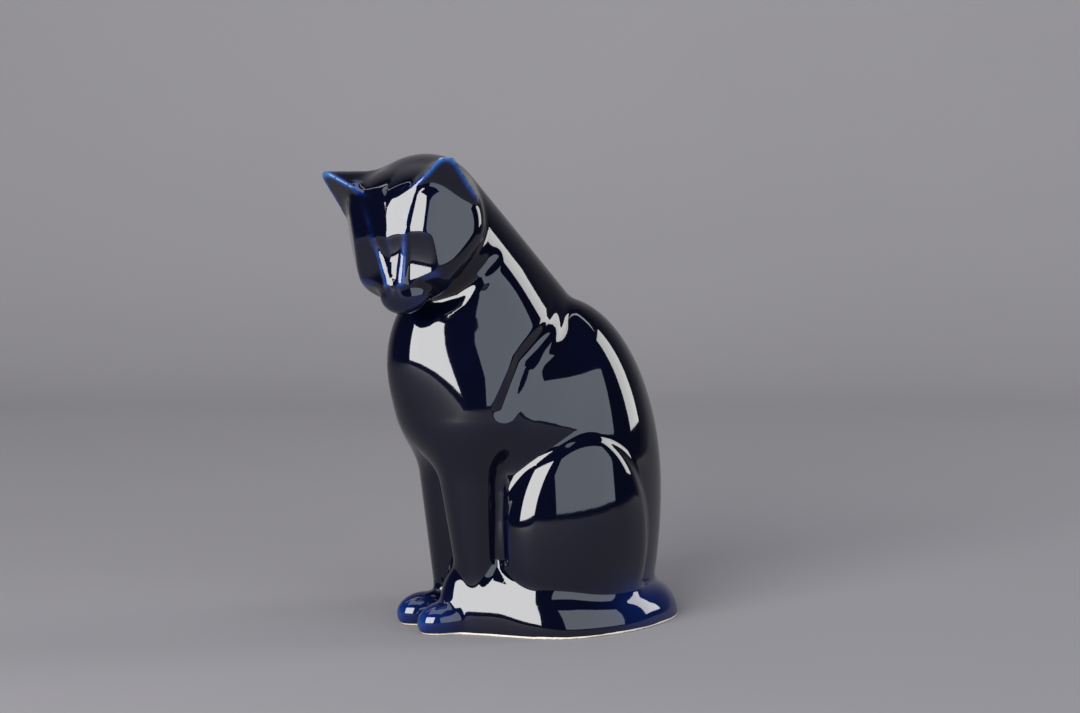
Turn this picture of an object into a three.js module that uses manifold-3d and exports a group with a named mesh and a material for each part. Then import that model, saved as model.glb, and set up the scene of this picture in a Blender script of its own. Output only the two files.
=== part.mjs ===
// Ceramic funeral urn in the form of a seated cat, in millimetres, +Z up.
// While it is modelled the cat faces -Y, its left side is +X and the seat is centred on the Z axis.
// At the end everything moves so that the origin is the middle of the footprint, on the ground.
import * as THREE from "three";
import { mergeVertices } from "three/addons/utils/BufferGeometryUtils.js";
import Module from "manifold-3d";

// Head: middle of the skull, and how it is turned, tipped down and tilted, in degrees.
const HEAD_AT = [8.5, -89, 219.5];
const HEAD_TURN = 45;
const HEAD_TIP = 36;
const HEAD_TILT = 10;

// Skull and face, measured in the head's own frame: left, back, up. The left half is given and the
// right half mirrors it. A flat has the way it faces and a point on it.
const SKULL = { at: [0, 5, -1.5], half: [37, 40, 28.8] };
const FACE_BACK = [13, -3, 0];
const FACE_FRONT = [9, -25, -12];
const FACE_RADII = [27, 17];
const TEMPLE = { faces: [0.86, -0.42, 0.29], at: [31.9, -4.9, 3.3] };
const CHEEK = { faces: [0.78, -0.47, 0.41], at: [36.5, -14, 14.5] };
const FOREHEAD = { faces: [0.24, -0.64, 0.73], at: [10, -17.3, 17.5] };
const FOREHEAD_LIFT = 0.8;
const CREST_WIDTH = 9;
const BROW_EDGE = [12, -21.5, 14];
const UNDER_BROW = { faces: [0.16, -0.93, 0.33], at: BROW_EDGE };
const EYE_SHELF = { faces: [0.3, -0.7, 0.65], at: [18, -33, -9.5] };
const UNDER_SHELF = { faces: [0.34, -0.88, -0.33], at: [18, -33, -9.5] };
const BRIDGE = { faces: [0, -0.72, 0.69], at: [0, -38.5, -6] };
const BRIDGE_HALF_WIDTH = 6.4;
const BRIDGE_SPREAD = 0.3;
const BRIDGE_WIDTH_AT = -29;
const MUZZLE = { at: [0, -32.5, -18.5], half: [13.5, 12, 10.5] };
const EAR_INNER = [15, -3, 27];
const EAR_TIP = [39.5, 4, 44.5];
const EAR_OUTER = [40, 9, 9];
const EAR_BACK = [24, 24, 26];
const EAR_MIDDLE = [27, 8, 15];
const EAR_SCOOP = { at: [33, -17, 27], half: [18, 17, 26] };
const EAR_FOOT = { faces: [0, 0.2, -1], at: [0, 0, 2] };
const NAPE_IN_HEAD = [0, 21, -10];

// Fold under the jaw on the side that the head turns to, in the head's frame, just off the skin.
const NECK_FOLD = [
  [46, 9.8, -28],
  [32.6, -10.8, -30],
  [19.8, -19.4, -34.2],
  [1, -28.2, -35],
];
const NECK_FOLD_RADIUS = 4.5;

// Trunk. The seat, mantle, ribs and thighs are eggs, with a half height below their middle of its own.
const NECK_ROOT = [0, -14, 157];
const NECK_RADII = [32.5, 32.8];
const NAPE_FLAT = { faces: [0.8, 0.45, 0.4], at: [27, -30, 190] };
const HIND_BODY = { at: [0, 4, 68], half: [48.5, 61, 109], low: 140 };
const CHEST = { at: [0, -57, 145], half: [28, 39.5, 50] };
const MANTLE = { at: [0, -42, 117], half: [41.5, 46, 80], low: 32 };
const RIBS = { at: [0, -22, 112], half: [44.5, 45, 56], low: 28 };
const BELLY = { at: [0, -30, 70], half: [20, 24, 80] };

// Valley between each shoulder and the back, as a line just off the skin.
const VALLEY = [
  [23.6, -0.4, 185],
  [34.6, -11.7, 167.5],
  [41.3, -36.4, 148.1],
  [45.6, -49.6, 123],
];
const VALLEY_RADIUS = 5.5;

// Legs. Each thigh is a raised pad, bounded by an arch as seen from the side.
const LEG_TOP = [11, -57.5, 104];
const WRIST = [16, -51.5, 22];
const LEG_RADII = [18, 11.5];
const FRONT_PAW = { at: [13, -71, 6], half: [10.5, 16, 11] };
const THIGH = { at: [0, 0, 42], half: [57, 63, 125], low: 120 };
const THIGH_ARCH = { at: [-3, 50], half: [44, 60] };
const THIGH_EDGE = 12;
const LEG_GROOVE = [
  [31.2, -47.4, 90],
  [29.8, -46.5, 77],
  [30.6, -46.9, 61],
  [32.6, -47.3, 40],
];
const LEG_GROOVE_RADIUS = 3;
const RIGHT_HIND_PAW = { at: [-34, -42, 5], half: [12, 20, 8] };

// Tail: it leaves the middle of the back and lies round the left side to the front paws.
// Each stop is where the tail meets the body: X, Y, how far the tail reaches out, how high it stands.
const TAIL_STOPS = [
  [-22, 48, 12, 15],
  [8, 52, 16, 18],
  [28, 46, 17, 20],
  [42, 28, 15, 21],
  [47, 8, 15.5, 22],
  [44, -12, 18.5, 27],
  [36, -28, 18, 33],
  [25, -42, 15.5, 37.5],
  [16, -53, 15, 37.5],
  [11.5, -59.5, 14.5, 36.5],
];
const TAIL_SQUARENESS = 2;
const TAIL_STEPS = 6;

// Shell: wall, floor, and the filling hole in the underside with the step that the bung's rim sits in.
const WALL = 5.5;
const FLOOR = 8;
const HOLE_AT = [0, 10];
const HOLE_RADIUS = 21;
const STEP_RADIUS = 25;
const STEP_DEPTH = 3.5;
const HOLE_SIDES = 36;

// Bung.
const GAP = 0.3;
const BUNG_TOP = 15;
const BUNG_TAPER = 1.2;
const BUNG_RIM = 2.4;
const BUNG_DISH_RADIUS = 13;
const BUNG_DISH_DEPTH = 1.6;

// Sizes of the facets: lines of the grids that the surfaces are read from, as start, end and step.
const BELOW = 5;
const OUTER_GRID = {
  x: [[-68, 72, 6.7]],
  y: [[-138, -62, 5.3], [-62, 78, 7.3]],
  z: [[-BELOW - 4, 184, 7.4], [184, 268, 5.2]],
};
const CAVITY_GRID = {
  x: [[-64, 64, 9.5]],
  y: [[-132, 70, 9.5]],
  z: [[FLOOR - 6, 262, 9.5]],
};

const rad = THREE.MathUtils.degToRad;
const GLAZE = new THREE.MeshStandardMaterial({ color: 0x0b1440, roughness: 0.05, metalness: 0 });
const RUBBER = new THREE.MeshStandardMaterial({ color: 0x1b1b1d, roughness: 0.7, metalness: 0 });

// The head's left, back and up directions.
function headAxes() {
  const h = rad(HEAD_TURN);
  const t = rad(HEAD_TIP);
  const r = rad(HEAD_TILT);
  const back = new THREE.Vector3(-Math.sin(h) * Math.cos(t), Math.cos(h) * Math.cos(t), Math.sin(t));
  const level = new THREE.Vector3(Math.cos(h), Math.sin(h), 0);
  const upright = new THREE.Vector3().crossVectors(level, back);
  const left = level.clone().multiplyScalar(Math.cos(r)).addScaledVector(upright, Math.sin(r));
  const up = upright.clone().multiplyScalar(Math.cos(r)).addScaledVector(level, -Math.sin(r));
  return [left, back, up];
}
const [HEAD_LEFT, HEAD_BACK, HEAD_UP] = headAxes();

function fromHead(p) {
  return new THREE.Vector3(...HEAD_AT)
    .addScaledVector(HEAD_LEFT, p[0])
    .addScaledVector(HEAD_BACK, p[1])
    .addScaledVector(HEAD_UP, p[2])
    .toArray();
}

function intoHead(p) {
  const v = new THREE.Vector3(p[0] - HEAD_AT[0], p[1] - HEAD_AT[1], p[2] - HEAD_AT[2]);
  return [v.dot(HEAD_LEFT), v.dot(HEAD_BACK), v.dot(HEAD_UP)];
}

// Distances from a point to simple forms, negative inside.
function ellipsoid(p, form) {
  const a = (p[0] - form.at[0]) / form.half[0];
  const b = (p[1] - form.at[1]) / form.half[1];
  const c = (p[2] - form.at[2]) / form.half[2];
  const k0 = Math.hypot(a, b, c);
  const k1 = Math.hypot(a / form.half[0], b / form.half[1], c / form.half[2]) + 1e-9;
  return (k0 * (k0 - 1)) / k1;
}

function limb(p, a, b, ra, rb) {
  const e = [b[0] - a[0], b[1] - a[1], b[2] - a[2]];
  const q = [p[0] - a[0], p[1] - a[1], p[2] - a[2]];
  const along = (q[0] * e[0] + q[1] * e[1] + q[2] * e[2]) / (e[0] ** 2 + e[1] ** 2 + e[2] ** 2);
  const t = Math.min(1, Math.max(0, along));
  return Math.hypot(q[0] - t * e[0], q[1] - t * e[1], q[2] - t * e[2]) - (ra + t * (rb - ra));
}

// Joins two forms with a fillet about k wide, and keeps what two forms share with an edge as soft.
function join(a, b, k) {
  const h = Math.max(k - Math.abs(a - b), 0) / k;
  return Math.min(a, b) - h * h * k * 0.25;
}

function keep(a, b, k) {
  return -join(-a, -b, k);
}

function mirrored(p) {
  return [Math.abs(p[0]), p[1], p[2]];
}

// An ellipsoid whose lower half has a height of its own.
function egg(p, form) {
  const high = p[2] > form.at[2] ? form.half[2] : form.low;
  return ellipsoid(p, { at: form.at, half: [form.half[0], form.half[1], high] });
}

// The same in two measures, for an arch seen from the side.
function ellipse(a, b, form) {
  const u = (a - form.at[0]) / form.half[0];
  const v = (b - form.at[1]) / form.half[1];
  const k0 = Math.hypot(u, v);
  return (k0 * (k0 - 1)) / (Math.hypot(u / form.half[0], v / form.half[1]) + 1e-9);
}

// Height of a point above a flat, negative behind it.
function flat(p, form) {
  const n = new THREE.Vector3(...form.faces).normalize();
  return new THREE.Vector3(...p).sub(new THREE.Vector3(...form.at)).dot(n);
}

// Flat through three points, facing away from a fourth.
function facet(a, b, c, inside) {
  const from = new THREE.Vector3(...a);
  const along = new THREE.Vector3(...b).sub(from);
  const n = along.cross(new THREE.Vector3(...c).sub(from));
  if (n.dot(new THREE.Vector3(...inside).sub(from)) > 0) n.negate();
  return { faces: n.toArray(), at: a };
}

function bead(p, line, radius) {
  const spans = line.slice(1).map((end, i) => limb(p, line[i], end, radius, radius));
  return Math.min(...spans);
}

const EAR_TOP_FACET = facet(EAR_TIP, EAR_INNER, EAR_BACK, EAR_MIDDLE);
const EAR_SIDE_FACET = facet(EAR_TIP, EAR_BACK, EAR_OUTER, EAR_MIDDLE);
const EAR_FRONT_FACET = facet(EAR_TIP, EAR_INNER, EAR_OUTER, EAR_MIDDLE);

function ear(m) {
  let d = keep(flat(m, EAR_TOP_FACET), flat(m, EAR_SIDE_FACET), 9);
  d = keep(d, flat(m, EAR_FRONT_FACET), 2);
  d = keep(d, -ellipsoid(m, EAR_SCOOP), 2.5);
  return keep(d, flat(m, EAR_FOOT), 4);
}

// The face is carved from the skull: a forehead that ends in a brow, an eye hollow with a shelf under
// it each side, and the bridge of the nose between them.
function face(m) {
  const rounded = [Math.hypot(m[0], CREST_WIDTH), m[1], m[2]];
  const forehead = flat(rounded, FOREHEAD) - FOREHEAD_LIFT;
  const under = flat(m, UNDER_BROW);
  let eye = join(under, flat(m, EYE_SHELF), 5);
  eye = keep(eye, flat(m, UNDER_SHELF), 2);
  const across = m[0] - (m[1] - BRIDGE_WIDTH_AT) * BRIDGE_SPREAD - BRIDGE_HALF_WIDTH;
  const nose = keep(forehead, join(under, flat(m, BRIDGE), 4), 1.2);
  const front = join(keep(forehead, eye, 1.2), keep(nose, across, 1.5), 2);
  return keep(front, flat(m, CHEEK), 7);
}

function head(p) {
  const q = intoHead(p);
  const m = mirrored(q);
  const mass = limb(m, FACE_BACK, FACE_FRONT, FACE_RADII[0], FACE_RADII[1]);
  let d = join(ellipsoid(q, SKULL), mass, 10);
  d = keep(d, flat(m, TEMPLE), 5);
  d = keep(d, face(m), 3);
  d = join(d, ellipsoid(q, MUZZLE), 4);
  return join(d, ear(m), 4);
}

const NAPE = fromHead(NAPE_IN_HEAD);

function hindPart(p) {
  const pad = keep(egg(p, THIGH), ellipse(p[1], p[2], THIGH_ARCH), THIGH_EDGE);
  return join(join(egg(p, HIND_BODY), egg(p, RIBS), 8), pad, 2);
}

function forePart(p) {
  const neck = keep(limb(p, NAPE, NECK_ROOT, NECK_RADII[0], NECK_RADII[1]), flat(p, NAPE_FLAT), 12);
  return join(join(ellipsoid(p, CHEST), neck, 12), egg(p, MANTLE), 9);
}

function forelegs(p) {
  const m = mirrored(p);
  return join(limb(m, LEG_TOP, WRIST, LEG_RADII[0], LEG_RADII[1]), ellipsoid(m, FRONT_PAW), 8);
}

// Points along a smooth curve through the stops.
function smoothPath(stops, steps) {
  const beyond = (end, before) => end.map((v, i) => (i < 2 ? 2 * v - before[i] : before[i]));
  const first = beyond(stops[0], stops[1]);
  const last = beyond(stops.at(-1), stops.at(-2));
  const all = [first, ...stops, last];
  const path = [];
  for (let i = 1; i < all.length - 2; i++) {
    for (let k = 0; k < steps; k++) {
      const t = k / steps;
      path.push(all[i].map((b, j) => {
        const a = all[i - 1][j];
        const c = all[i + 1][j];
        const e = all[i + 2][j];
        const square = (2 * a - 5 * b + 4 * c - e) * t * t;
        const cube = (3 * b - a - 3 * c + e) * t ** 3;
        return 0.5 * (2 * b + (c - a) * t + square + cube);
      }));
    }
  }
  path.push(stops.at(-1));
  return path;
}
const TAIL_PATH = smoothPath(TAIL_STOPS, TAIL_STEPS);

function tail(p) {
  const z = Math.abs(p[2]);
  if (z > 60) return z - 40;
  let d = Infinity;
  for (let i = 1; i < TAIL_PATH.length; i++) {
    const [ax, ay, aw, ah] = TAIL_PATH[i - 1];
    const [bx, by, bw, bh] = TAIL_PATH[i];
    const ex = bx - ax;
    const ey = by - ay;
    const t = Math.min(1, Math.max(0, ((p[0] - ax) * ex + (p[1] - ay) * ey) / (ex * ex + ey * ey)));
    const away = Math.hypot(p[0] - ax - t * ex, p[1] - ay - t * ey);
    const w = aw + t * (bw - aw);
    const h = ah + t * (bh - ah);
    const e = ((away / w) ** TAIL_SQUARENESS + (z / h) ** TAIL_SQUARENESS) ** (1 / TAIL_SQUARENESS);
    d = Math.min(d, (e - 1) * Math.min(w, h));
  }
  return d;
}

// The whole cat, carried a little below the ground so that the underside can be cut flat.
function cat(p) {
  const m = mirrored(p);
  let d = join(hindPart(p), join(forePart(p), forelegs(p), 12), 2.5);
  d = join(d, ellipsoid(p, BELLY), 8);
  d = keep(d, -bead(m, VALLEY, VALLEY_RADIUS), 4);
  d = keep(d, -bead(m, LEG_GROOVE, LEG_GROOVE_RADIUS), 2);
  d = keep(d, -bead(intoHead(p), NECK_FOLD, NECK_FOLD_RADIUS), 4);
  d = join(d, ellipsoid(p, RIGHT_HIND_PAW), 4);
  d = join(d, tail(p), 3);
  d = join(d, head(p), 4);
  return keep(d, -p[2] - BELOW, 1);
}

// The hollow: the trunk, neck and skull less the wall. Legs, ears, paws and tail are solid.
function hollow(p) {
  const q = intoHead(p);
  const trunk = join(egg(p, HIND_BODY), forePart(p), 12);
  const core = join(trunk, ellipsoid(q, SKULL), 12);
  const inside = Math.max(core, cat(p)) + WALL;
  return keep(inside, FLOOR - p[2], 2);
}

function gridLines(runs) {
  const lines = [runs[0][0]];
  for (const [from, to, step] of runs) {
    const count = Math.round((to - from) / step);
    for (let i = 1; i <= count; i++) lines.push(from + ((to - from) * i) / count);
  }
  return lines;
}

function slope(field, p) {
  const h = 0.25;
  return [0, 1, 2].map((i) => {
    const a = [...p];
    const b = [...p];
    a[i] += h;
    b[i] -= h;
    return (field(a) - field(b)) / (2 * h);
  });
}

// Surface of a form: one point in each grid cell that the surface passes, and one face round each
// grid line that it crosses.
function surfaceOf(field, grid) {
  const lines = [gridLines(grid.x), gridLines(grid.y), gridLines(grid.z)];
  const [nx, ny, nz] = lines.map((l) => l.length);
  const at = (i, j, k) => (i * ny + j) * nz + k;
  const value = new Float64Array(nx * ny * nz);
  for (let i = 0; i < nx; i++)
    for (let j = 0; j < ny; j++)
      for (let k = 0; k < nz; k++)
        value[at(i, j, k)] = field([lines[0][i], lines[1][j], lines[2][k]]);
  untangle(value, [nx, ny, nz], at);
  const points = [];
  const pointOf = new Map();
  const cellPoint = (i, j, k) => {
    const key = at(i, j, k);
    if (pointOf.has(key)) return pointOf.get(key);
    const sum = [0, 0, 0];
    let count = 0;
    for (let axis = 0; axis < 3; axis++) {
      for (let corner = 0; corner < 4; corner++) {
        const a = [0, 0, 0];
        a[(axis + 1) % 3] = corner & 1;
        a[(axis + 2) % 3] = corner >> 1;
        const b = [...a];
        b[axis] = 1;
        const va = value[at(i + a[0], j + a[1], k + a[2])];
        const vb = value[at(i + b[0], j + b[1], k + b[2])];
        if (va < 0 === vb < 0) continue;
        const t = va / (va - vb);
        const cell = [i, j, k];
        for (let n = 0; n < 3; n++) {
          const low = lines[n][cell[n] + a[n]];
          const high = lines[n][cell[n] + b[n]];
          sum[n] += low + t * (high - low);
        }
        count++;
      }
    }
    const p = sum.map((s) => s / count);
    settle(field, p, [i, j, k], lines);
    points.push(p);
    pointOf.set(key, points.length - 1);
    return points.length - 1;
  };
  const faces = [];
  for (let i = 0; i < nx - 1; i++)
    for (let j = 0; j < ny - 1; j++)
      for (let k = 0; k < nz - 1; k++)
        for (let axis = 0; axis < 3; axis++) {
          const next = [i, j, k];
          next[axis]++;
          const inA = value[at(i, j, k)] < 0;
          if (inA === value[at(...next)] < 0) continue;
          const u = [0, 0, 0];
          const v = [0, 0, 0];
          u[(axis + 1) % 3] = 1;
          v[(axis + 2) % 3] = 1;
          if (i < u[0] + v[0] || j < u[1] + v[1] || k < u[2] + v[2]) continue;
          const a = cellPoint(i - u[0] - v[0], j - u[1] - v[1], k - u[2] - v[2]);
          const b = cellPoint(i - v[0], j - v[1], k - v[2]);
          const c = cellPoint(i, j, k);
          const d = cellPoint(i - u[0], j - u[1], k - u[2]);
          faces.push(inA ? [a, b, c, d] : [d, c, b, a]);
        }
  return facesToGeometry(points, faces);
}

// Where the four corners of a grid square are in and out by turns, the surface would meet itself
// there, so the outer corner nearest the surface is taken in.
function untangle(value, size, at) {
  for (let changed = true; changed; ) {
    changed = false;
    for (let axis = 0; axis < 3; axis++) {
      const u = [0, 0, 0];
      const v = [0, 0, 0];
      u[(axis + 1) % 3] = 1;
      v[(axis + 2) % 3] = 1;
      for (let i = 0; i < size[0] - u[0] - v[0]; i++)
        for (let j = 0; j < size[1] - u[1] - v[1]; j++)
          for (let k = 0; k < size[2] - u[2] - v[2]; k++) {
            const corners = [
              at(i, j, k),
              at(i + u[0], j + u[1], k + u[2]),
              at(i + u[0] + v[0], j + u[1] + v[1], k + u[2] + v[2]),
              at(i + v[0], j + v[1], k + v[2]),
            ];
            const inside = corners.map((c) => value[c] < 0);
            if (inside[0] !== inside[2] || inside[1] !== inside[3] || inside[0] === inside[1]) continue;
            const outer = inside[0] ? [corners[1], corners[3]] : [corners[0], corners[2]];
            value[value[outer[0]] < value[outer[1]] ? outer[0] : outer[1]] = -0.05;
            changed = true;
          }
    }
  }
}

// Moves a point onto the surface, but not out of its own cell.
function settle(field, p, cell, lines) {
  for (let step = 0; step < 4; step++) {
    const g = slope(field, p);
    const scale = field(p) / Math.max(g[0] ** 2 + g[1] ** 2 + g[2] ** 2, 0.1);
    for (let n = 0; n < 3; n++) {
      const low = lines[n][cell[n]];
      const high = lines[n][cell[n] + 1];
      const margin = (high - low) * 0.04;
      p[n] = Math.min(high - margin, Math.max(low + margin, p[n] - g[n] * scale));
    }
  }
}

// Splits each four sided face along its shorter diagonal.
function facesToGeometry(points, faces) {
  const span = (a, b) => Math.hypot(...[0, 1, 2].map((n) => points[a][n] - points[b][n]));
  const index = [];
  for (const [a, b, c, d] of faces) {
    if (span(a, c) <= span(b, d)) index.push(a, b, c, a, c, d);
    else index.push(a, b, d, b, c, d);
  }
  const geometry = new THREE.BufferGeometry();
  geometry.setAttribute("position", new THREE.Float32BufferAttribute(points.flat(), 3));
  geometry.setIndex(index);
  return geometry;
}

// A round piece standing on the hole's axis, from a profile of radius and height.
function turned(profile) {
  const points = profile.map(([r, z]) => new THREE.Vector2(r, z));
  const geometry = new THREE.LatheGeometry(points, HOLE_SIDES);
  geometry.rotateX(Math.PI / 2);
  geometry.translate(HOLE_AT[0], HOLE_AT[1], 0);
  return geometry;
}

const wasm = await Module();
wasm.setup();

function solidOf(geometry) {
  const bare = geometry.clone();
  bare.deleteAttribute("normal");
  bare.deleteAttribute("uv");
  const merged = mergeVertices(bare, 1e-4);
  return new wasm.Manifold(
    new wasm.Mesh({
      numProp: 3,
      vertProperties: merged.attributes.position.array,
      triVerts: new Uint32Array(merged.index.array),
    }),
  );
}

function geometryOf(solid) {
  const mesh = solid.getMesh();
  const geometry = new THREE.BufferGeometry();
  geometry.setAttribute("position", new THREE.BufferAttribute(mesh.vertProperties, 3));
  geometry.setIndex(new THREE.BufferAttribute(mesh.triVerts, 1));
  return geometry;
}

// The body: the cat cut flat underneath, less the hollow and the stepped filling hole.
const ground = new THREE.BoxGeometry(400, 400, 40);
ground.translate(0, 0, -20);
const fillingHole = turned([
  [0, -10],
  [STEP_RADIUS, -10],
  [STEP_RADIUS, STEP_DEPTH],
  [HOLE_RADIUS, STEP_DEPTH],
  [HOLE_RADIUS, FLOOR + 4],
  [0, FLOOR + 4],
]);
const bodySolid = solidOf(surfaceOf(cat, OUTER_GRID))
  .subtract(solidOf(ground))
  .subtract(solidOf(surfaceOf(hollow, CAVITY_GRID)))
  .subtract(solidOf(fillingHole));
const bodyGeometry = geometryOf(bodySolid);

// The bung: a tapered plug with a rim that fits the step, and a shallow dish for the fingers.
const bungGeometry = turned([
  [0, BUNG_DISH_DEPTH + 2 * GAP],
  [BUNG_DISH_RADIUS, BUNG_DISH_DEPTH + 2 * GAP],
  [BUNG_DISH_RADIUS + 1, 2 * GAP],
  [STEP_RADIUS - GAP - 1, 2 * GAP],
  [STEP_RADIUS - GAP, 2 * GAP + 1],
  [STEP_RADIUS - GAP, 2 * GAP + BUNG_RIM],
  [HOLE_RADIUS - GAP, 2 * GAP + BUNG_RIM],
  [HOLE_RADIUS - GAP, FLOOR],
  [HOLE_RADIUS - GAP - BUNG_TAPER, BUNG_TOP - 1],
  [HOLE_RADIUS - GAP - BUNG_TAPER - 1, BUNG_TOP],
  [0, BUNG_TOP],
]);

const body = new THREE.Mesh(bodyGeometry, GLAZE);
body.name = "cat_urn_body";
const bung = new THREE.Mesh(bungGeometry, RUBBER);
bung.name = "base_bung";

const group = new THREE.Group();
group.add(body, bung);

// The footprint's middle becomes the origin.
bodyGeometry.computeBoundingBox();
const { min, max } = bodyGeometry.boundingBox;
for (const piece of [body, bung]) piece.position.set(-(min.x + max.x) / 2, -(min.y + max.y) / 2, 0);

export default group;
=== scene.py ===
import math

import bpy
import numpy as np
from mathutils import Matrix, Vector


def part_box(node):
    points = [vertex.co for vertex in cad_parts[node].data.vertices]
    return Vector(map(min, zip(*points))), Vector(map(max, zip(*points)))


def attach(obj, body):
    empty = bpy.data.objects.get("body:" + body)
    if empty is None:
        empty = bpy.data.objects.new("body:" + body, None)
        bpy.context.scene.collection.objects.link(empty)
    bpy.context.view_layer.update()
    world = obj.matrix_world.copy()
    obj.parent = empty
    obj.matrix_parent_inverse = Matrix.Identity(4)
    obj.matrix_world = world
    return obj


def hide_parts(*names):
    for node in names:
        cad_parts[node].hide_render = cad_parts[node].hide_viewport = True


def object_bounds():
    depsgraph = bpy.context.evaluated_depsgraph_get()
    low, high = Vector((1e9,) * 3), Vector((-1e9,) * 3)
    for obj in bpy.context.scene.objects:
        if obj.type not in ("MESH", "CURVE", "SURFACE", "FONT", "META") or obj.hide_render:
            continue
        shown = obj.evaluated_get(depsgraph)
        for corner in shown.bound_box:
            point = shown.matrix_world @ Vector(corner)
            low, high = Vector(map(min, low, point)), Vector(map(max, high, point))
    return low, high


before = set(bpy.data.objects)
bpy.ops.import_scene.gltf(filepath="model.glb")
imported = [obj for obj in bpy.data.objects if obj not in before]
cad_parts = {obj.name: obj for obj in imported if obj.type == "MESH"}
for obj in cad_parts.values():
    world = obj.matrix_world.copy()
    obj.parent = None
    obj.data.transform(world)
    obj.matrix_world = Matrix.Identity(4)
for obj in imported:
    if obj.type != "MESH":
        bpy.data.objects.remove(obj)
CAD_LOW, CAD_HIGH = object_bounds()

# Form of the cat, in millimetres, with the solid's own values, but for BRIDGE_LINE, a bead along the ridges
# of the nose that is finer than the solid's facets.
# The cat faces -Y, its left side is +X and the seat is centred on the Z axis, until SHIFT moves it.
HEAD_AT = (8.5, -89, 219.5)
HEAD_TURN, HEAD_TIP, HEAD_TILT = 45, 36, 10
SKULL = ((0, 5, -1.5), (37, 40, 28.8))
FACE_BACK, FACE_FRONT, FACE_RADII = (13, -3, 0), (9, -25, -12), (27, 17)
TEMPLE_NORMAL, TEMPLE_AT = (0.86, -0.42, 0.29), (31.9, -4.9, 3.3)
CHEEK_NORMAL, CHEEK_AT = (0.78, -0.47, 0.41), (36.5, -14, 14.5)
FACE_NORMAL, FACE_AT, FACE_CREST, FACE_RISE = (0.24, -0.64, 0.73), (10, -17.3, 17.5), 9, 0.8
UNDER_BROW_NORMAL, BROW_AT = (0.16, -0.93, 0.33), (12, -21.5, 14)
SHELF_NORMAL, SHELF_AT = (0.30, -0.70, 0.65), (18, -33, -9.5)
UNDER_SHELF_NORMAL = (0.34, -0.88, -0.33)
BRIDGE_NORMAL, BRIDGE_AT = (0, -0.72, 0.69), (0, -38.5, -6)
BRIDGE_LINE = ((19, 3, 28.5), (14.5, -6, 24.3), (11, -16, 17), (9.4, -22, 11.6), (7.2, -28, 3),
               (4.5, -37.5, -7.5))
BRIDGE_BEAD = 1.2
NOSE_TIP, NOSE_WIDENING, NOSE_HALF = 29, 0.30, 6.4
MUZZLE = ((0, -32.5, -18.5), (13.5, 12, 10.5))
EAR_INNER, EAR_TIP, EAR_OUTER, EAR_BACK = (15, -3, 27), (39.5, 4, 44.5), (40, 9, 9), (24, 24, 26)
EAR_SCOOP = ((33, -17, 27), (18, 17, 26))
EAR_INSIDE, EAR_FOOT_NORMAL, EAR_FOOT_AT = (27, 8, 15), (0, 0.2, -1), (0, 0, 2)
NAPE_FLAT_NORMAL, NAPE_FLAT_AT = (0.80, 0.45, 0.40), (27, -30, 190)
NAPE_IN_HEAD, NECK_ROOT, NECK_RADII = (0, 21, -10), (0, -14, 157), (32.5, 32.8)
HIND_BODY, HIND_LOW = ((0, 4, 68), (48.5, 61, 109)), 140
CHEST = ((0, -57, 145), (28, 39.5, 50))
MANTLE, MANTLE_LOW = ((0, -42, 117), (41.5, 46, 80)), 32
RIBS, RIBS_LOW = ((0, -22, 112), (44.5, 45, 56)), 28
BELLY = ((0, -30, 70), (20, 24, 80))
LEG_TOP, WRIST, LEG_RADII = (11, -57.5, 104), (16, -51.5, 22), (18, 11.5)
FRONT_PAW = ((13, -71, 6), (10.5, 16, 11))
THIGH, THIGH_LOW, THIGH_ARCH, THIGH_EDGE = ((0, 0, 42), (57, 63, 125)), 120, ((-3, 50), (44, 60)), 12
VALLEY_RADIUS, LEG_GROOVE_RADIUS, NECK_FOLD_RADIUS = 5.5, 3, 4.5
VALLEY = ((23.6, -0.4, 185), (34.6, -11.7, 167.5), (41.3, -36.4, 148.1), (45.6, -49.6, 123))
LEG_GROOVE = ((31.2, -47.4, 90), (29.8, -46.5, 77), (30.6, -46.9, 61), (32.6, -47.3, 40))
NECK_FOLD = ((46, 9.8, -28), (32.6, -10.8, -30), (19.8, -19.4, -34.2), (1, -28.2, -35))
RIGHT_HIND_PAW = ((-34, -42, 5), (12, 20, 8))
# Each stop of the tail is its place on the ground, its half width and its height.
TAIL_STOPS = ((-22, 48, 12, 15), (8, 52, 16, 18), (28, 46, 17, 20), (42, 28, 15, 21), (47, 8, 15.5, 22),
              (44, -12, 18.5, 27), (36, -28, 18, 33), (25, -42, 15.5, 37.5), (16, -53, 15, 37.5),
              (11.5, -59.5, 14.5, 36.5))
TAIL_SQUARENESS, TAIL_TOP, TAIL_CLEAR = 2.0, 40, 60
WALL, FLOOR = 5.5, 8
HOLE_AT, HOLE_RADIUS, STEP_RADIUS, STEP_DEPTH = (0, 10), 21, 25, 3.5
GAP, BUNG_TOP = 0.3, 15
FOOT_ROUND = 1.0

F = np.float32


def vec(v):
    return np.array(v, F)


def join(a, b, k):
    """Both forms as one, the corner between them filled over a width of k."""
    h = np.maximum(k - np.abs(a - b), 0) / F(k)
    return np.minimum(a, b) - h * h * F(k * 0.25)


def keep(a, b, k):
    """What lies in both forms, the edge between them rounded over a width of k."""
    return -join(-a, -b, k)


def ellipsoid(p, form):
    q = (p - vec(form[0])) / vec(form[1])
    k0 = np.sqrt((q * q).sum(-1))
    q = q / vec(form[1])
    k1 = np.sqrt((q * q).sum(-1)) + F(1e-9)
    return k0 * (k0 - 1) / k1


def limb(p, a, b, ra, rb):
    a, e = vec(a), vec(b) - vec(a)
    q = p - a
    t = np.clip(q @ e / F(e @ e), 0, 1)
    r = q - t[..., None] * e
    return np.sqrt((r * r).sum(-1)) - (F(ra) + t * F(rb - ra))


def mirrored(p):
    return np.concatenate([np.abs(p[..., :1]), p[..., 1:]], -1)


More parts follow.
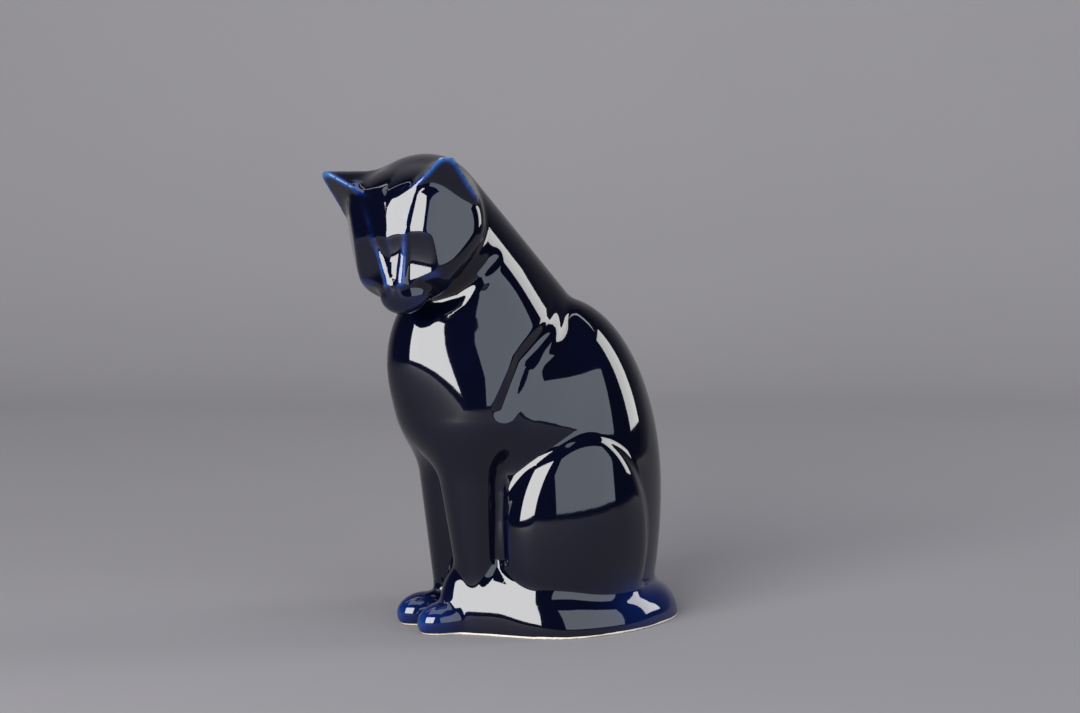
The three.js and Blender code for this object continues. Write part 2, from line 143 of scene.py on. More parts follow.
def head_axes():
    h, t, r = (math.radians(a) for a in (HEAD_TURN, HEAD_TIP, HEAD_TILT))
    back = np.array([-math.sin(h) * math.cos(t), math.cos(h) * math.cos(t), math.sin(t)])
    level = np.array([math.cos(h), math.sin(h), 0])
    upright = np.cross(level, back)
    left = level * math.cos(r) + upright * math.sin(r)
    return np.stack([left, back, upright * math.cos(r) - level * math.sin(r)], 1)


HEAD_AXES = head_axes()
NAPE = tuple(np.array(HEAD_AT) + HEAD_AXES @ np.array(NAPE_IN_HEAD, float))


def into_head(p):
    return (p - vec(HEAD_AT)) @ HEAD_AXES.astype(F)


def plane(p, normal, at):
    n = np.array(normal) / np.linalg.norm(normal)
    return (p - vec(at)) @ vec(n)


def facet(p, a, b, c, inside):
    """Distance from the plane through three points, less than nothing on the side of the fourth."""
    n = np.cross(np.array(b, float) - a, np.array(c, float) - a)
    return plane(p, n if n @ (np.array(inside) - a) < 0 else -n, a)


def bead(p, line, radius):
    d = limb(p, line[0], line[1], radius, radius)
    for a, b in zip(line[1:], line[2:]):
        d = np.minimum(d, limb(p, a, b, radius, radius))
    return d


def head(p):
    q = into_head(p)
    m = mirrored(q)
    skull = join(ellipsoid(q, SKULL), limb(m, FACE_BACK, FACE_FRONT, *FACE_RADII), 10)
    skull = keep(skull, plane(m, TEMPLE_NORMAL, TEMPLE_AT), 5)
    crest = m.copy()
    crest[..., 0] = np.hypot(m[..., 0], F(FACE_CREST))
    face = plane(crest, FACE_NORMAL, FACE_AT) - F(FACE_RISE)
    under = plane(m, UNDER_BROW_NORMAL, BROW_AT)
    eye = join(under, plane(m, SHELF_NORMAL, SHELF_AT), 5)
    eye = keep(eye, plane(m, UNDER_SHELF_NORMAL, SHELF_AT), 2)
    front = keep(face, eye, 1.2)
    across = m[..., 0] - (m[..., 1] + F(NOSE_TIP)) * F(NOSE_WIDENING) - F(NOSE_HALF)
    nose = keep(face, join(under, plane(m, BRIDGE_NORMAL, BRIDGE_AT), 4), 1.2)
    front = join(front, keep(nose, across, 1.5), 2)
    front = keep(front, plane(m, CHEEK_NORMAL, CHEEK_AT), 7)
    d = keep(skull, front, 3)
    d = join(d, bead(m, BRIDGE_LINE, BRIDGE_BEAD), 2.5)
    d = join(d, ellipsoid(q, MUZZLE), 4)
    ear_back = facet(m, EAR_TIP, EAR_BACK, EAR_OUTER, EAR_INSIDE)
    ear = keep(facet(m, EAR_TIP, EAR_INNER, EAR_BACK, EAR_INSIDE), ear_back, 9)
    ear = keep(ear, facet(m, EAR_TIP, EAR_INNER, EAR_OUTER, EAR_INSIDE), 2)
    ear = keep(ear, -ellipsoid(m, EAR_SCOOP), 2.5)
    ear = keep(ear, plane(m, EAR_FOOT_NORMAL, EAR_FOOT_AT), 4)
    return join(d, ear, 4)


def egg(p, form, low):
    """An ellipsoid whose lower half has a height of its own."""
    q = p - vec(form[0])
    half = np.where(q[..., 2] > 0, F(form[1][2]), F(low))
    q = np.stack([q[..., 0] / F(form[1][0]), q[..., 1] / F(form[1][1]), q[..., 2] / half], -1)
    k0 = np.sqrt((q * q).sum(-1))
    across = (q[..., 0] / F(form[1][0])) ** 2 + (q[..., 1] / F(form[1][1])) ** 2
    k1 = np.sqrt(across + (q[..., 2] / half) ** 2)
    return k0 * (k0 - 1) / (k1 + F(1e-9))


def hind_part(p):
    """The seat with a raised pad for each thigh, bounded by an arch as seen from the side."""
    pad = keep(egg(p, THIGH, THIGH_LOW), ellipsoid(p[..., 1:], THIGH_ARCH), THIGH_EDGE)
    return join(join(egg(p, HIND_BODY, HIND_LOW), egg(p, RIBS, RIBS_LOW), 8), pad, 2)


def fore_part(p):
    neck = keep(limb(p, NAPE, NECK_ROOT, *NECK_RADII), plane(p, NAPE_FLAT_NORMAL, NAPE_FLAT_AT), 12)
    d = join(ellipsoid(p, CHEST), neck, 12)
    return join(d, egg(p, MANTLE, MANTLE_LOW), 9)


def forelegs(p):
    m = mirrored(p)
    return join(limb(m, LEG_TOP, WRIST, *LEG_RADII), ellipsoid(m, FRONT_PAW), 8)


def spline(stops):
    """Cubics through the stops, one for each span, as four coefficients of each value."""
    p = np.array(stops, float)
    ends = np.array([2 * p[0] - p[1], 2 * p[-1] - p[-2]])
    ends[:, 2:] = p[[1, -2], 2:]
    p = np.vstack([ends[0], p, ends[1]])
    a, b, c, e = p[:-3], p[1:-2], p[2:-1], p[3:]
    return np.stack([2 * b, c - a, 2 * a - 5 * b + 4 * c - e, 3 * b - a - 3 * c + e], 1).astype(F) / 2


TAIL = spline(TAIL_STOPS)


def along(u, turn=0):
    """The tail's values at u, or the rate or the turn at which they change."""
    k = np.clip(u.astype(int), 0, len(TAIL) - 1)
    t, c = (u - k)[..., None], TAIL[k]
    if turn == 0:
        return c[..., 0, :] + t * (c[..., 1, :] + t * (c[..., 2, :] + t * c[..., 3, :]))
    if turn == 1:
        return c[..., 1, :2] + t * (2 * c[..., 2, :2] + 3 * t * c[..., 3, :2])
    return 2 * c[..., 2, :2] + 6 * t * c[..., 3, :2]


def nearest_table(low, step, count):
    u = np.arange(0, len(TAIL), 0.02, dtype=F)
    at = along(u)[:, :2]
    x, y = (low[i] + step * np.arange(count[i], dtype=F) for i in (0, 1))
    table = np.empty(count, F)
    for i, xi in enumerate(x):
        table[i] = u[np.argmin((xi - at[None, :, 0]) ** 2 + (y[:, None] - at[None, :, 1]) ** 2, 1)]
    return table


TABLE_LOW, TABLE_STEP, TABLE_COUNT = (-80, -140), 1.5, (108, 152)
NEAREST = nearest_table(TABLE_LOW, TABLE_STEP, TABLE_COUNT)


def tail(p):
    """The distance from the tail. High above it, the distance from a level at its top stands in."""
    out = np.abs(p[..., 2]) - F(TAIL_TOP)
    near = np.abs(p[..., 2]) < TAIL_CLEAR
    q = p[near]
    i, j = (np.clip(((q[:, n] - TABLE_LOW[n]) / TABLE_STEP + 0.5).astype(int), 0, TABLE_COUNT[n] - 1)
            for n in (0, 1))
    u = NEAREST[i, j]
    for _ in range(3):
        gap, rate = along(u)[:, :2] - q[:, :2], along(u, 1)
        pace = (rate * rate).sum(1)
        bend = np.maximum(pace + (gap * along(u, 2)).sum(1), pace * F(0.3))
        u = np.clip(u - np.clip((gap * rate).sum(1) / bend, -0.3, 0.3), 0, len(TAIL))
    at = along(u)
    away = np.hypot(at[:, 0] - q[:, 0], at[:, 1] - q[:, 1])
    s = F(TAIL_SQUARENESS)
    e = ((away / at[:, 2]) ** s + (np.abs(q[:, 2]) / at[:, 3]) ** s) ** (1 / s)
    out[near] = (e - 1) * np.minimum(at[:, 2], at[:, 3])
    return out


def cat(p):
    d = join(hind_part(p), join(fore_part(p), forelegs(p), 12), 2.5)
    d = join(d, ellipsoid(p, BELLY), 8)
    d = keep(d, -bead(mirrored(p), VALLEY, VALLEY_RADIUS), 4)
    d = keep(d, -bead(mirrored(p), LEG_GROOVE, LEG_GROOVE_RADIUS), 2)
    d = keep(d, -bead(into_head(p), NECK_FOLD, NECK_FOLD_RADIUS), 4)
    d = join(d, ellipsoid(p, RIGHT_HIND_PAW), 4)
    d = join(d, tail(p), 3)
    d = join(d, head(p), 4)
    return keep(d, -p[..., 2], FOOT_ROUND)


def hollow(p):
    core = join(join(egg(p, HIND_BODY, HIND_LOW), fore_part(p), 12), ellipsoid(into_head(p), SKULL), 12)
    return keep(np.maximum(core, cat(p)) + F(WALL), F(FLOOR) - p[..., 2], 2)


def grid_lines(runs):
    lines = [runs[0][0]]
    for low, high, step in runs:
        n = round((high - low) / step)
        lines += [low + (high - low) * (i + 1) / n for i in range(n)]
    return np.array(lines, F)


def sample(field, lines, coarse=4, reach=14):
    """The field at every crossing of the grid lines, worked out in full only near the surface."""
    shape = tuple(len(a) for a in lines)
    rough = [a[::coarse] for a in lines]
    g = np.stack(np.meshgrid(*rough, indexing="ij"), -1)
    v = field(g)
    for axis in range(3):
        near = np.minimum((np.arange(shape[axis]) + coarse // 2) // coarse, v.shape[axis] - 1)
        v = np.take(v, near, axis)
    todo = np.abs(v) < reach
    idx = np.argwhere(todo)
    pts = np.stack([lines[n][idx[:, n]] for n in range(3)], -1)
    out = np.empty(len(pts), F)
    for i in range(0, len(pts), 100000):
        out[i:i + 100000] = field(pts[i:i + 100000])
    v[todo] = out
    return v


def untangle(v):
    """Where a grid square is in and out by turns, its corner nearest the surface changes sides."""
    for _ in range(20):
        changed = 0
        for a, b in ((0, 1), (1, 2), (0, 2)):
            cut = []
            for da, db in ((0, 0), (1, 0), (1, 1), (0, 1)):
                s = [slice(None)] * 3
                s[a] = slice(da, v.shape[a] - 1 + da)
                s[b] = slice(db, v.shape[b] - 1 + db)
                cut.append(v[tuple(s)])
            i = [c < 0 for c in cut]
            bad = np.argwhere((i[0] == i[2]) & (i[1] == i[3]) & (i[0] != i[1]))
            for cell in bad:
                corners = []
                for da, db in ((0, 0), (1, 0), (1, 1), (0, 1)):
                    c = cell.copy()
                    c[a] += da
                    c[b] += db
                    corners.append(tuple(c))
                c = min(corners, key=lambda k: abs(v[k]))
                v[c] = 0.02 if v[c] < 0 else -0.02
                changed += 1
        if not changed:
            break
    return v


def slope(field, p, h=0.05):
    g = np.empty((len(p), 3), F)
    for a in range(3):
        e = np.zeros(3, F)
        e[a] = h
        g[:, a] = (field(p + e) - field(p - e)) / F(2 * h)
    return g


def surface_of(field, runs, steps=3):
    """Points and outward four sided faces of the field's surface."""
    lines = [grid_lines(r) for r in runs]
    v = untangle(sample(field, lines))
    inside = v < 0
    n = v.shape
    count = np.zeros(tuple(k - 1 for k in n), np.uint8)
    for i in (0, 1):
        for j in (0, 1):
            for k in (0, 1):
                count += inside[i:n[0] - 1 + i, j:n[1] - 1 + j, k:n[2] - 1 + k]
    active = (count > 0) & (count < 8)
    cells = np.argwhere(active)
    number = np.full(active.shape, -1, np.int64)
    number[active] = np.arange(len(cells))
    total, hits = np.zeros((len(cells), 3)), np.zeros(len(cells))
    for a in [(i, j, k) for i in (0, 1) for j in (0, 1) for k in (0, 1)]:
        for axis in range(3):
            if a[axis]:
                continue
            b = list(a)
            b[axis] = 1
            ca, cb = cells + np.array(a), cells + np.array(b)
            va, vb = v[tuple(ca.T)], v[tuple(cb.T)]
            m = (va < 0) != (vb < 0)
            t = np.where(m, va / np.where(m, va - vb, 1), 0)[:, None]
            pa = np.stack([lines[k][ca[:, k]] for k in range(3)], 1)
            pb = np.stack([lines[k][cb[:, k]] for k in range(3)], 1)
            total += np.where(m[:, None], pa + t * (pb - pa), 0)
            hits += m
    points = total / hits[:, None]
    faces = []
    for axis in range(3):
        low = tuple(slice(1, k - 1) if a != axis else slice(0, k - 1) for a, k in enumerate(n))
        high = tuple(slice(1, k - 1) if a != axis else slice(1, k) for a, k in enumerate(n))
        e = np.argwhere(inside[low] != inside[high])
        first = inside[low][tuple(e.T)]
        e = e + np.array([a != axis for a in range(3)])
        u, w = np.eye(3, dtype=int)[[(axis + 1) % 3, (axis + 2) % 3]]
        quad = np.stack([number[tuple(c.T)] for c in (e - u - w, e - w, e, e - u)], 1)
        quad[~first] = quad[~first][:, ::-1]
        faces.append(quad)
    low = np.stack([lines[k][cells[:, k]] for k in range(3)], 1)
    high = np.stack([lines[k][cells[:, k] + 1] for k in range(3)], 1)
    margin = (high - low) * 0.03
    for _ in range(steps):
        g = slope(field, points.astype(F))
        d = field(points.astype(F))
        points = points - g * (d / np.maximum((g * g).sum(1), 0.1))[:, None]
        points = np.clip(points, low + margin, high - margin)
    return points, np.concatenate(faces)


def mesh_object(name, points, faces):
    me = bpy.data.meshes.new(name)
    me.from_pydata(points.tolist(), [], faces.tolist() if hasattr(faces, "tolist") else faces)
    ob = bpy.data.objects.new(name, me)
    bpy.context.scene.collection.objects.link(ob)
    return ob


def turned(name, profile, sides=96):
    """A closed round solid on the hole's axis, from a profile of radius and height from axis to axis."""
    ring = np.arange(sides) * 2 * math.pi / sides
    points, faces, rows = [], [], []
    for r, z in profile:
        if r == 0:
            rows.append([len(points)] * sides)
            points.append((HOLE_AT[0], HOLE_AT[1], z))
        else:
            rows.append([len(points) + i for i in range(sides)])
            points += [(HOLE_AT[0] + r * math.cos(a), HOLE_AT[1] + r * math.sin(a), z) for a in ring]
    for one, two in zip(rows, rows[1:]):
        for i in range(sides):
            j = (i + 1) % sides
            loop = []
            for k in (one[i], one[j], two[j], two[i]):
                if k not in loop:
                    loop.append(k)
            if len(loop) > 2:
                faces.append(loop)
    return mesh_object(name, np.array(points), faces)


def cut(ob, tool):
    m = ob.modifiers.new("cut", "BOOLEAN")
    m.operation, m.solver, m.object = "DIFFERENCE", "MANIFOLD", tool
    dg = bpy.context.evaluated_depsgraph_get()
    me = bpy.data.meshes.new_from_object(ob.evaluated_get(dg))
    ob.modifiers.clear()
    old, ob.data = ob.data, me
    bpy.data.meshes.remove(old)
    bpy.data.objects.remove(tool)


def smoothstep(a, b, x):
    t = np.clip((x - a) / (b - a), 0, 1)
    return t * t * (3 - 2 * t)


# Body: the skin from a fine grid, finer round the head, less the hollow and the filling hole.
FINE, HEAD_FINE, HOLLOW_STEP = 1.5, 1.05, 4.2
HEAD_FROM_Y, HEAD_FROM_Z = -60, 184
outer = surface_of(cat, (((-70, 74, FINE),), ((-140, HEAD_FROM_Y, HEAD_FINE), (HEAD_FROM_Y, 78, FINE)),
                         ((-4, HEAD_FROM_Z, FINE), (HEAD_FROM_Z, 268, HEAD_FINE))))
body = mesh_object("glazed_body", *outer)
body.data.vertices.foreach_set("co", np.maximum(outer[0], (-1e3, -1e3, 0)).astype(F).ravel())
inner = surface_of(hollow, (((-64, 64, HOLLOW_STEP),), ((-132, 70, HOLLOW_STEP),),
                            ((FLOOR - 6, 262, HOLLOW_STEP),)))
cavity = mesh_object("cavity", *inner)
cut(body, cavity)
HOLE_LOW, HOLE_HIGH = -10, FLOOR + 4
cut(body, turned("hole", [(0, HOLE_LOW), (STEP_RADIUS, HOLE_LOW), (STEP_RADIUS, STEP_DEPTH),
                          (HOLE_RADIUS, STEP_DEPTH), (HOLE_RADIUS, HOLE_HIGH), (0, HOLE_HIGH)]))
me = body.data
n = len(me.vertices)
co = np.empty(n * 3, F)
me.vertices.foreach_get("co", co)
co = co.reshape(-1, 3)
print("body", n, "vertices", sum(len(p.vertices) - 2 for p in me.polygons), "triangles")

# How thin the glaze runs, from how sharply the form bends: it draws back from convex edges and pools in
# creases. The cavity, the filling hole and the underside are bare clay.
SKIN_REACH, BEND_REACH, THIN_FROM, BARE_BELOW = 0.12, 1.1, 2.5, 0.15
on_skin = np.abs(cat(co)) < SKIN_REACH
lap = -6 * cat(co)
for a in range(3):
    e = np.zeros(3, F)
    e[a] = BEND_REACH
    lap = lap + cat(co + e) + cat(co - e)
bend = lap / F(BEND_REACH * BEND_REACH)
thin = np.where(on_skin & (co[:, 2] > THIN_FROM), smoothstep(0.08, 0.5, bend), 0)
pool = np.where(on_skin, smoothstep(0.02, 0.3, -bend), 0)
bare = np.where(on_skin & (co[:, 2] > BARE_BELOW), 0.0, 1.0)
# The bluest places: the toes of the front paws and the outside of the tail's turn.
toes = (1 - smoothstep(10, 30, co[:, 2])) * (1 - smoothstep(-76, -56, co[:, 1]))
tail_turn = (1 - smoothstep(16, 40, co[:, 2])) * smoothstep(-14, 30, co[:, 1])
tail_turn = tail_turn * smoothstep(5, 40, co[:, 0])
paws = np.maximum(toes * 0.7, tail_turn) * np.where(on_skin, 1, 0)

# The glaze softens its own edge, so how thin it runs is evened out between neighbouring points.
EVEN_STEPS = 4
edge = np.empty(len(me.edges) * 2, np.int64)
me.edges.foreach_get("vertices", edge)
one, two = edge.reshape(-1, 2).T
one, two = np.concatenate([one, two]), np.concatenate([two, one])
beside = np.bincount(one, minlength=n)
for _ in range(EVEN_STEPS):
    around = np.bincount(one, weights=thin[two], minlength=n) / np.maximum(beside, 1)
    thin = thin * 0.5 + around * 0.5
for name, value in (("thin", thin), ("pool", pool), ("bare", bare), ("paws", paws)):
    me.attributes.new(name, "FLOAT", "POINT").data.foreach_set("value", value.astype(F))

# Shading normals straight from the form, so that the gloss runs without a ripple. Elsewhere, as in the
# filling hole, the mesh's own serve, flat where an edge is hard.
normal = np.zeros((n, 3), F)
normal[on_skin] = slope(cat, co[on_skin])
normal /= np.maximum(np.linalg.norm(normal, axis=1), 1e-6)[:, None]
for poly in me.polygons:
    poly.use_smooth = True
loops = np.empty(len(me.loops), np.int64)
me.loops.foreach_get("vertex_index", loops)
face_n = np.empty(len(me.polygons) * 3, F)
me.polygons.foreach_get("normal", face_n)
size = np.empty(len(me.polygons), np.int64)
me.polygons.foreach_get("loop_total", size)
face_n = np.repeat(face_n.reshape(-1, 3), size, 0)
wanted = normal[loops]
agree = (wanted * face_n).sum(1) > 0.6
soft = np.empty(len(me.loops) * 3, F)
me.corner_normals.foreach_get("vector", soft)
soft = soft.reshape(-1, 3)
hard = (soft * face_n).sum(1) < 0.8
rest = np.where(hard[:, None], face_n, soft)
me.normals_split_custom_set(np.where(agree[:, None], wanted, rest).tolist())

# Into place: metres, and moved as the solid was, as the place of its bung shows.
bung_low, bung_high = (np.array(v) * 1000 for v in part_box("base_bung"))
SHIFT = (bung_low + bung_high) / 2 - (*HOLE_AT, 0)
SHIFT[2] = 0
low, high = (np.array(v) for v in (CAD_LOW, CAD_HIGH))
print("shift", SHIFT, "own box", co.min(0) + SHIFT, co.max(0) + SHIFT)
print("cad", low * 1000, high * 1000)


def settle(ob):
    """Moves the mesh into place. Points past the solid's box go back on it, which leaves small flats."""
    c = np.empty(len(ob.data.vertices) * 3, F)
    ob.data.vertices.foreach_get("co", c)
    c = (c.reshape(-1, 3) + SHIFT) / 1000
    ob.data.vertices.foreach_set("co", np.clip(c, low, high).astype(F).ravel())
    ob.data.update()


settle(body)
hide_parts("cat_urn_body")
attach(body, "root")

# Bung: a dished face with a shallow groove round it, a rounded flange and a shank tapered at its end.
rim, shank = STEP_RADIUS - GAP, HOLE_RADIUS - GAP
dish = [(0, 2.6), (8, 2.6), (12.2, 2.5), (12.9, 2.2), (13.4, 1.4), (14, 0.9), (15, 0.62), (16.5, 0.6)]
groove = [(17, 0.85), (17.6, 0.95), (18.2, 0.85), (18.7, 0.6)]
flange = [(rim - 1.1, 0.6), (rim - 0.5, 0.75), (rim - 0.15, 1.1), (rim, 1.6), (rim, 2.6),
          (rim - 0.1, 2.9), (rim - 0.4, 3.0)]
plug = [(shank + 0.1, 3.0), (shank, 3.2), (shank, 7.4), (shank - 0.1, 8), (shank - 1.1, BUNG_TOP - 1.4),
        (shank - 1.4, BUNG_TOP - 0.5), (shank - 2.2, BUNG_TOP), (0, BUNG_TOP)]
bung = turned("rubber_bung", dish + groove + flange + plug)
for poly in bung.data.polygons:
    poly.use_smooth = True
settle(bung)
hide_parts("base_bung")
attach(bung, "root")


# Materials.
def material(name):
    m = bpy.data.materials.new(name)
    m.use_nodes = True
    nt = m.node_tree
    return m, nt, nt.nodes["Principled BSDF"]


def ramp(nt, source, stops):
    r = nt.nodes.new("ShaderNodeValToRGB")
    r.color_ramp.interpolation = "LINEAR"
    while len(r.color_ramp.elements) < len(stops):
        r.color_ramp.elements.new(0.5)
    for el, (at, colour) in zip(r.color_ramp.elements, stops):
        el.position = at
        el.color = (*colour, 1)
    nt.links.new(source, r.inputs[0])
    return r.outputs["Color"]


def mix(nt, factor, a, b):
    m = nt.nodes.new("ShaderNodeMix")
    m.data_type = "RGBA"
    for value, socket in ((factor, m.inputs[0]), (a, m.inputs[6]), (b, m.inputs[7])):
        if isinstance(value, (int, float)):
            socket.default_value = value
        elif isinstance(value, tuple):
            socket.default_value = (*value, 1)
        else:
            nt.links.new(value, socket)
    return m.outputs[2]


def math_node(nt, op, a, b=0.0, c=0.0, clamp=False):
    m = nt.nodes.new("ShaderNodeMath")
    m.operation = op
    m.use_clamp = clamp
    for value, socket in zip((a, b, c), m.inputs):
        if isinstance(value, (int, float)):
            socket.default_value = value
        else:
            nt.links.new(value, socket)
    return m.outputs[0]


def noise(nt, coord, scale, detail=3.0, rough=0.5):
    t = nt.nodes.new("ShaderNodeTexNoise")
    t.inputs["Scale"].default_value = scale
    t.inputs["Detail"].default_value = detail
    t.inputs["Roughness"].default_value = rough
    nt.links.new(coord, t.inputs["Vector"])
    return t.outputs["Fac"]


def attribute(nt, name):
    a = nt.nodes.new("ShaderNodeAttribute")
    a.attribute_name = name
    return a.outputs["Fac"]


# Glaze, from thick and nearly black to thin and blue, over cream clay at the foot. Heights in metres.
GLAZE_STOPS = [(0.0, (0.0008, 0.0012, 0.006)), (0.12, (0.0010, 0.0024, 0.016)),
               (0.36, (0.002, 0.010, 0.070)), (0.70, (0.007, 0.038, 0.15)), (1.0, (0.025, 0.10, 0.25))]
CLAY_DARK, CLAY_PALE, CLAY_SPECK = (0.60, 0.53, 0.42), (0.74, 0.68, 0.57), (0.30, 0.22, 0.15)
FOOT_LINE, FOOT_WANDER, FOOT_SHARPNESS = 0.0013, 0.0008, 9000
GLAZE_IOR, PEEL_DEPTH, GRIT_DEPTH, BUMP_DISTANCE = 1.55, 0.012, 0.12, 0.001
glaze, nt, bsdf = material("cobalt_glaze_on_clay")
coord = nt.nodes.new("ShaderNodeTexCoord").outputs["Object"]
height = nt.nodes.new("ShaderNodeSeparateXYZ")
nt.links.new(coord, height.inputs[0])
big = noise(nt, coord, 22, 2)
small = noise(nt, coord, 420, 3)
wobble = noise(nt, coord, 90, 3)
thin_v = attribute(nt, "thin")
pool_v = attribute(nt, "pool")
cloud = math_node(nt, "MULTIPLY", math_node(nt, "SUBTRACT", big, 0.5), 0.10)
run = math_node(nt, "ADD", thin_v, cloud)
run = math_node(nt, "SUBTRACT", run, math_node(nt, "MULTIPLY", pool_v, 0.12), clamp=True)
tint = math_node(nt, "MULTIPLY", attribute(nt, "paws"), 0.5)
tint = math_node(nt, "MULTIPLY", tint, math_node(nt, "MULTIPLY_ADD", big, 0.8, 0.6))
run = math_node(nt, "ADD", run, math_node(nt, "MULTIPLY", tint, 0.55), clamp=True)
colour = ramp(nt, run, GLAZE_STOPS)
# Foot: the glaze stops in a slightly uneven line just above the ground and shows the cream clay.
wander = math_node(nt, "MULTIPLY", math_node(nt, "SUBTRACT", wobble, 0.5), FOOT_WANDER)
line = math_node(nt, "ADD", height.outputs["Z"], wander)
start = FOOT_LINE * FOOT_SHARPNESS + 0.5
clay_m = math_node(nt, "MULTIPLY_ADD", line, -FOOT_SHARPNESS, start, clamp=True)
clay_m = math_node(nt, "MAXIMUM", clay_m, attribute(nt, "bare"))
clay = mix(nt, noise(nt, coord, 260, 4), CLAY_DARK, CLAY_PALE)
specks = ramp(nt, noise(nt, coord, 900, 2), [(0.30, (1, 1, 1)), (0.36, (0, 0, 0))])
clay = mix(nt, math_node(nt, "MULTIPLY", specks, 0.25), clay, CLAY_SPECK)
nt.links.new(mix(nt, clay_m, colour, clay), bsdf.inputs["Base Color"])
rough = math_node(nt, "MULTIPLY_ADD", small, 0.02, 0.03)
nt.links.new(math_node(nt, "MULTIPLY_ADD", clay_m, 0.7, rough, clamp=True), bsdf.inputs["Roughness"])
bsdf.inputs["IOR"].default_value = GLAZE_IOR
bump = nt.nodes.new("ShaderNodeBump")
bump.inputs["Strength"].default_value = 1.0
bump.inputs["Distance"].default_value = BUMP_DISTANCE
peel = math_node(nt, "MULTIPLY", noise(nt, coord, 160, 2), PEEL_DEPTH)
grit = math_node(nt, "MULTIPLY", math_node(nt, "MULTIPLY", small, clay_m), GRIT_DEPTH)
nt.links.new(math_node(nt, "ADD", peel, grit), bump.inputs["Height"])
nt.links.new(bump.outputs[0], bsdf.inputs["Normal"])
body.data.materials.clear()
body.data.materials.append(glaze)

RUBBER_DARK, RUBBER_WORN, RUBBER_BUMP = (0.014, 0.014, 0.015), (0.035, 0.035, 0.037), 0.0002
rubber, nt, bsdf = material("bung_rubber")
coord = nt.nodes.new("ShaderNodeTexCoord").outputs["Object"]
nt.links.new(mix(nt, noise(nt, coord, 300, 4), RUBBER_DARK, RUBBER_WORN), bsdf.inputs["Base Color"])
nt.links.new(math_node(nt, "MULTIPLY_ADD", noise(nt, coord, 700, 2), 0.2, 0.5), bsdf.inputs["Roughness"])
bump = nt.nodes.new("ShaderNodeBump")
bump.inputs["Distance"].default_value = RUBBER_BUMP
nt.links.new(noise(nt, coord, 1500, 3), bump.inputs["Height"])
nt.links.new(bump.outputs[0], bsdf.inputs["Normal"])
bung.data.materials.append(rubber)

# Floor and backdrop in one pale sweep, the wall square to the camera's view.
CAM_AZ, CAM_EL, CAM_DIST = 62, 7.3, 1.42
LENS, SENSOR = 85, 36
WALL_AT, BEND, WALL_TOP, SWEEP_WIDTH, SWEEP_FRONT = 1.5, 0.7, 2.6, 7.0, -4.0
FLOOR_DARK, FLOOR_PALE = (0.215, 0.206, 0.213), (0.232, 0.222, 0.230)
floor_m, nt, bsdf = material("pale_floor")
coord = nt.nodes.new("ShaderNodeTexCoord").outputs["Object"]
nt.links.new(mix(nt, noise(nt, coord, 3, 3), FLOOR_DARK, FLOOR_PALE), bsdf.inputs["Base Color"])
bsdf.inputs["Roughness"].default_value = 0.9
bsdf.inputs["Specular IOR Level"].default_value = 0.1
away = np.array([-math.sin(math.radians(CAM_AZ)), math.cos(math.radians(CAM_AZ)), 0])
aside = np.array([math.cos(math.radians(CAM_AZ)), math.sin(math.radians(CAM_AZ)), 0])
line = [(SWEEP_FRONT, 0.0)]
for a in np.linspace(0, math.pi / 2, 33):
    line.append((WALL_AT - BEND + BEND * math.sin(a), BEND - BEND * math.cos(a)))
line += [(WALL_AT, WALL_TOP)]
points = np.array([away * s + aside * side * SWEEP_WIDTH / 2 + np.array([0, 0, z])
                   for s, z in line for side in (-1, 1)])
strips = [(2 * i, 2 * i + 1, 2 * i + 3, 2 * i + 2) for i in range(len(line) - 1)]
sweep = mesh_object("sweep", points, strips)
for poly in sweep.data.polygons:
    poly.use_smooth = True
sweep.data.materials.append(floor_m)

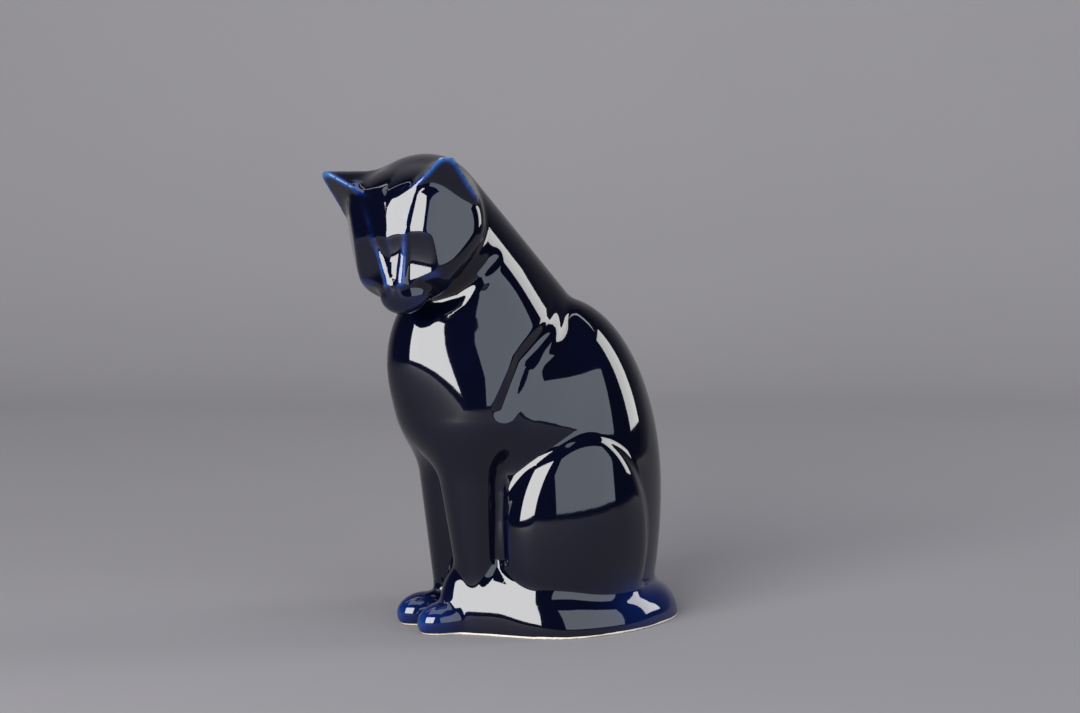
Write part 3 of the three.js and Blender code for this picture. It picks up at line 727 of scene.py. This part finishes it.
# Camera at the photograph's place. ORIGIN_PX is where the middle of the seat falls in the image.
ORIGIN_PX, IMAGE = (550, 612.7), (1080, 713)
az, el = math.radians(CAM_AZ), math.radians(CAM_EL)
right = Vector((math.cos(az), math.sin(az), 0))
back = Vector((math.sin(az) * math.cos(el), -math.cos(az) * math.cos(el), math.sin(el)))
up = back.cross(right)
scale = CAM_DIST / (LENS / SENSOR * IMAGE[0])
seat = Vector((SHIFT[0], SHIFT[1], 0)) / 1000
place = seat - right * ((ORIGIN_PX[0] - IMAGE[0] / 2) * scale)
place = place + up * ((ORIGIN_PX[1] - IMAGE[1] / 2) * scale)
place = place + back * CAM_DIST
cam = bpy.data.objects.new("camera", bpy.data.cameras.new("camera"))
cam.data.lens, cam.data.sensor_width = LENS, SENSOR
cam.matrix_world = Matrix(((right.x, up.x, back.x, place.x), (right.y, up.y, back.y, place.y),
                           (right.z, up.z, back.z, place.z), (0, 0, 0, 1)))
bpy.context.scene.collection.objects.link(cam)
bpy.context.scene.camera = cam


# Studio: a softbox has its direction from the urn in degrees, its distance, width and height in metres,
# its radiance and its colour.
LIT_AT = Vector((0, 0, 0.13))


def area_lamp(name, width, tall, energy, colour, place, away_from):
    lamp = bpy.data.lights.new(name, "AREA")
    lamp.shape, lamp.size, lamp.size_y = "RECTANGLE", width, tall
    lamp.energy = energy
    lamp.color = colour
    ob = bpy.data.objects.new(name, lamp)
    ob.location = place
    ob.rotation_euler = away_from.to_track_quat("Z", "Y").to_euler()
    bpy.context.scene.collection.objects.link(ob)


def softbox(name, azimuth, elevation, distance, width, tall, radiance, colour=(1, 1, 1)):
    a, e = math.radians(azimuth), math.radians(elevation)
    way = Vector((math.sin(a) * math.cos(e), -math.cos(a) * math.cos(e), math.sin(e)))
    energy = radiance * math.pi * width * tall
    area_lamp(name, width, tall, energy, colour, LIT_AT + way * distance, way)


softbox("key", 31, 17, 1.7, 1.3, 1.1, 13)
softbox("fill", 107, 14, 1.7, 2.0, 1.0, 2.3, (0.88, 0.97, 1.1))
softbox("rim", 166, 20, 1.8, 0.5, 1.1, 7)
softbox("top", 40, 76, 2.2, 2.2, 1.6, 2.0, (0.9, 0.97, 1.1))
# A lamp above and beyond the urn that faces the wall, so that its unlit back is towards the urn.
WALL_LAMP_PLACE = Vector(away * 0.35) + Vector((0, 0, 1.25))
WALL_LAMP_BACK = Vector(away * -1.0) + Vector((0, 0, 0.62))
area_lamp("wall_light", 2.4, 0.3, 9, (1, 1, 1), WALL_LAMP_PLACE, WALL_LAMP_BACK)
ROOM_COLOUR, ROOM_STRENGTH = (0.30, 0.29, 0.295, 1), 0.08
world = bpy.data.worlds.new("studio")
bpy.context.scene.world = world
world.use_nodes = True
world.node_tree.nodes["Background"].inputs[0].default_value = ROOM_COLOUR
world.node_tree.nodes["Background"].inputs[1].default_value = ROOM_STRENGTH
bpy.context.scene.view_settings.view_transform = "Standard"
